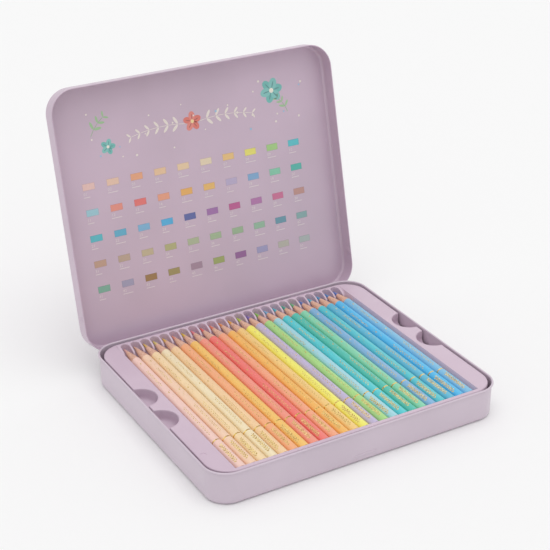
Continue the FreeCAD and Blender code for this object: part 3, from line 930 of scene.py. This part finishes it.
# Sprigs are x, height, length, turn, bend, stem, leaves, leaf size; flowers are x, height, size, petals,
# petal colour, heart colour, turn
sprayShape = {"garland": ((-6, 146, 46, 172, 24, cream, cream, 6.5), (2, 146, 46, 8, -24, cream, cream, 6.5)),
              "flowers": ((-2, 147, 7.0, 5, "DE7F74", "F3D9A0", 18), (66, 158, 9.0, 6, teal, ivory, 10),
                          (-70, 141, 5.5, 5, teal, ivory, 0)),
              "cornerSprigs": ((-82, 150, 17, 58, -30, stemGreen, leafGreen, 6.0),
                               (78, 140, 14, 112, 36, stemGreen, leafGreen, 5.0)),
              "dots": 26, "dotSides": (-92, 92), "dotHeights": (130, 170), "dotSizes": (0.55, 0.7, 0.9),
              "dotColors": (cream, cream, "9CC3DC")}


def tint(piece, hexColor):
    attribute = piece.data.color_attributes.new("inkColor", "FLOAT_COLOR", "CORNER")
    for corner in attribute.data:
        corner.color = toLinear(hexColor)
    return piece


def inkDisc(x, s, halfWide, halfHigh, hexColor, turn=0.0, sides=14, layer=0):
    deselectAll()
    bpy.ops.mesh.primitive_circle_add(vertices=sides, radius=1, fill_type="NGON")
    disc = named("inkDisc")
    disc.scale = (halfWide * mm, halfHigh * mm, 1)
    disc.rotation_euler.z = math.radians(turn)
    disc.location = (x * mm, s * mm, layer * 0.01 * mm)
    applyPlace(disc)
    return tint(disc, hexColor)


def inkPlate(x, s, wide, high, hexColor, layer=0):
    deselectAll()
    bpy.ops.mesh.primitive_plane_add(size=1, location=(x * mm, s * mm, layer * 0.01 * mm))
    plate = named("inkPlate")
    plate.scale = (wide * mm, high * mm, 1)
    applyPlace(plate)
    return tint(plate, hexColor)


def inkNumber(text, x, s, size):
    deselectAll()
    bpy.ops.object.text_add()
    label = bpy.context.object
    label.data.body = text
    label.data.size = size * mm
    label.data.resolution_u = 3
    bpy.ops.object.convert(target="MESH")
    label = named("inkNumber")
    label.location = (x * mm, s * mm, 0)
    applyPlace(label)
    return tint(label, labelInk)


def inkFlower(x, s, size, petals, hexColor, heart, turn):  # petals, veins and heart are shares of its size
    parts = []
    for i in range(petals):
        angle = math.radians(turn + 360 * i / petals)
        tone = mixHex(hexColor, "FFFFFF", 0.12 * (i % 2))
        parts.append(inkDisc(x + 0.56 * size * math.cos(angle), s + 0.56 * size * math.sin(angle), 0.5 * size,
                             0.36 * size, tone, math.degrees(angle), 16, 1 + i % 2))
        parts.append(inkDisc(x + 0.5 * size * math.cos(angle), s + 0.5 * size * math.sin(angle), 0.3 * size,
                             0.05 * size, mixHex(hexColor, "3A3A48", 0.3), math.degrees(angle), 8, 3))
    parts.append(inkDisc(x, s, 0.2 * size, 0.2 * size, heart, 0, 14, 4))
    return parts


def inkSprig(x, s, length, turn, bend, hexColor, leafHex, leaf):  # a curved stem with leaves in pairs
    parts = []
    steps = max(int(length / (1.15 * leaf)), 3)
    angle = math.radians(turn)
    step = length / steps
    for i in range(steps):
        x += step * math.cos(angle)
        s += step * math.sin(angle)
        middle = (x - 0.5 * step * math.cos(angle), s - 0.5 * step * math.sin(angle))
        parts.append(inkDisc(*middle, 0.56 * step, 0.22, hexColor, math.degrees(angle), 8, 1))
        size = leaf * (1 - 0.45 * i / steps)
        for side in (-1, 1):
            lean = angle + side * math.radians(52)
            parts.append(inkDisc(x + 0.55 * size * math.cos(lean), s + 0.55 * size * math.sin(lean), 0.5 * size,
                                 0.17 * size, leafHex, math.degrees(lean), 10, 2))
        angle += math.radians(bend) / steps
    return parts


def buildPrint():
    shape = printShape
    parts = []
    chart = [upperColors[i - 1] for i in chartOrder] + lowerColors
    left = shape["middleX"] - shape["columnStep"] * (shape["columns"] - 1) / 2
    wide, high = shape["chipWide"], shape["chipHigh"]
    for i, hexColor in enumerate(chart):
        x = left + shape["columnStep"] * (i % shape["columns"])
        s = shape["lowRow"] + shape["rowStep"] * (shape["rows"] - 1 - i // shape["columns"])
        ink = mixHex(hexColor, "8E6F86", 0.16)
        parts.append(inkPlate(x, s, wide, high, mixHex(ink, "6E5568", 0.35)))
        parts.append(inkPlate(x, s, wide - shape["edge"], high - shape["edge"], ink, 1))
        corner = x - wide / 2
        parts.append(inkNumber(f"{i + 1:02d}", corner, s - shape["numberDrop"], shape["numberSize"]))
        rule = shape["ruleShort"] + shape["ruleSpread"] * ((i * 7) % 10) / 10  # uneven, as words would be
        parts.append(inkPlate(corner + rule / 2, s - shape["ruleDrop"], rule, shape["ruleWide"], labelInk))
    print("chart printed")
    for sprig in sprayShape["garland"]:
        parts += inkSprig(*sprig)
    for flower in sprayShape["flowers"]:
        parts += inkFlower(*flower)
    for sprig in sprayShape["cornerSprigs"]:
        parts += inkSprig(*sprig)
    for i in range(sprayShape["dots"]):
        x, s = random.uniform(*sprayShape["dotSides"]), random.uniform(*sprayShape["dotHeights"])
        size = random.choice(sprayShape["dotSizes"])
        parts.append(inkDisc(x, s, size, size, random.choice(sprayShape["dotColors"]), 0, 10, 5))
    sheet = join("lidPrint", parts)
    up = Vector((0, -math.cos(openTurn), math.sin(openTurn)))
    facing = Vector((1, 0, 0)).cross(up)
    origin = hinge - facing * (lidPanel - hinge.z - shape["lift"] * mm)
    place = Matrix(((1, up.x, facing.x, origin.x), (0, up.y, facing.y, origin.y),
                    (0, up.z, facing.z, origin.z), (0, 0, 0, 1)))
    applyPlace(sheet, place)
    coat(sheet, printInk)
    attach(sheet, "lid")


buildPrint()
print("lid print built")


# Floor, light and camera

studio = {"floor": "F7F7F7", "floorShade": "F6F6F6", "floorSize": 8.0, "skyStrength": 0.72,
          "sunStrength": 0.96, "sunSize": 60, "sunFrom": (-0.03, -0.16, 1.0)}


def studioFloor():  # matt painted board, pale and even
    material, tree, place = startMaterial("mattPaintedBoard")
    tooth = addNode(tree, "ShaderNodeTexNoise", {"Scale": perMm(1.5), "Detail": 2.0}, {"Vector": place})
    tone = addNode(tree, "ShaderNodeValToRGB", {"stops": ((0.2, studio["floorShade"]), (0.8, studio["floor"]))},
                   {"Fac": tooth.outputs["Fac"]})
    shader = addNode(tree, "ShaderNodeBsdfPrincipled", {"Roughness": 0.9, "Specular IOR Level": 0.1},
                     {"Base Color": tone.outputs["Color"]})
    return endMaterial(material, shader)


deselectAll()
bpy.ops.mesh.primitive_plane_add(size=studio["floorSize"], location=(0, 0, 0))
floor = named("studioFloor")
coat(floor, studioFloor())

world = bpy.data.worlds.new("studioWorld")
bpy.context.scene.world = world
world.use_nodes = True
worldTree = world.node_tree
worldTree.nodes.clear()
rays = addNode(worldTree, "ShaderNodeLightPath")
seen = addNode(worldTree, "ShaderNodeMath", {"operation": "MAXIMUM"},
               {0: rays.outputs["Is Camera Ray"], 1: rays.outputs["Is Glossy Ray"]})
through = addNode(worldTree, "ShaderNodeMath", {"operation": "MAXIMUM"},
                  {0: seen.outputs["Value"], 1: rays.outputs["Is Transmission Ray"]})
sky = addNode(worldTree, "ShaderNodeBackground",
              {"Color": toLinear("FFFFFF"), "Strength": studio["skyStrength"]})
backdrop = addNode(worldTree, "ShaderNodeBackground", {"Color": toLinear(studio["floor"]), "Strength": 1.0})
# Surfaces are lit by the sky, and the eye and reflections see the backdrop
mixed = addNode(worldTree, "ShaderNodeMixShader", {},
                {"Fac": through.outputs["Value"], 1: sky.outputs["Background"],
                 2: backdrop.outputs["Background"]})
addNode(worldTree, "ShaderNodeOutputWorld", {}, {"Surface": mixed.outputs["Shader"]})

deselectAll()
bpy.ops.object.light_add(type="SUN", location=(0, 0, 1))
sun = bpy.context.object
sun.name = "softOverheadLight"
sun.data.energy = studio["sunStrength"]
sun.data.angle = math.radians(studio["sunSize"])
sun.rotation_euler = Vector(studio["sunFrom"]).to_track_quat("Z", "Y").to_euler()

cameraView = {"azimuth": -30.305, "elevation": 26.883, "roll": 0.063, "lens": 95.194, "sensor": 36.0,
              "place": (-452.265, -749.437, 539.631)}
deselectAll()
bpy.ops.object.camera_add()
camera = bpy.context.object
camera.name = "photoCamera"
camera.data.lens = cameraView["lens"]
camera.data.sensor_width = cameraView["sensor"]
camera.location = Vector(cameraView["place"]) * mm
aim = Matrix.Rotation(math.radians(cameraView["azimuth"]), 3, "Z")
aim = aim @ Matrix.Rotation(math.radians(90 - cameraView["elevation"]), 3, "X")
aim = aim @ Matrix.Rotation(math.radians(cameraView["roll"]), 3, "Z")
camera.rotation_euler = aim.to_euler()
bpy.context.scene.camera = camera
bpy.context.scene.view_settings.view_transform = "Standard"
print("studio ready")
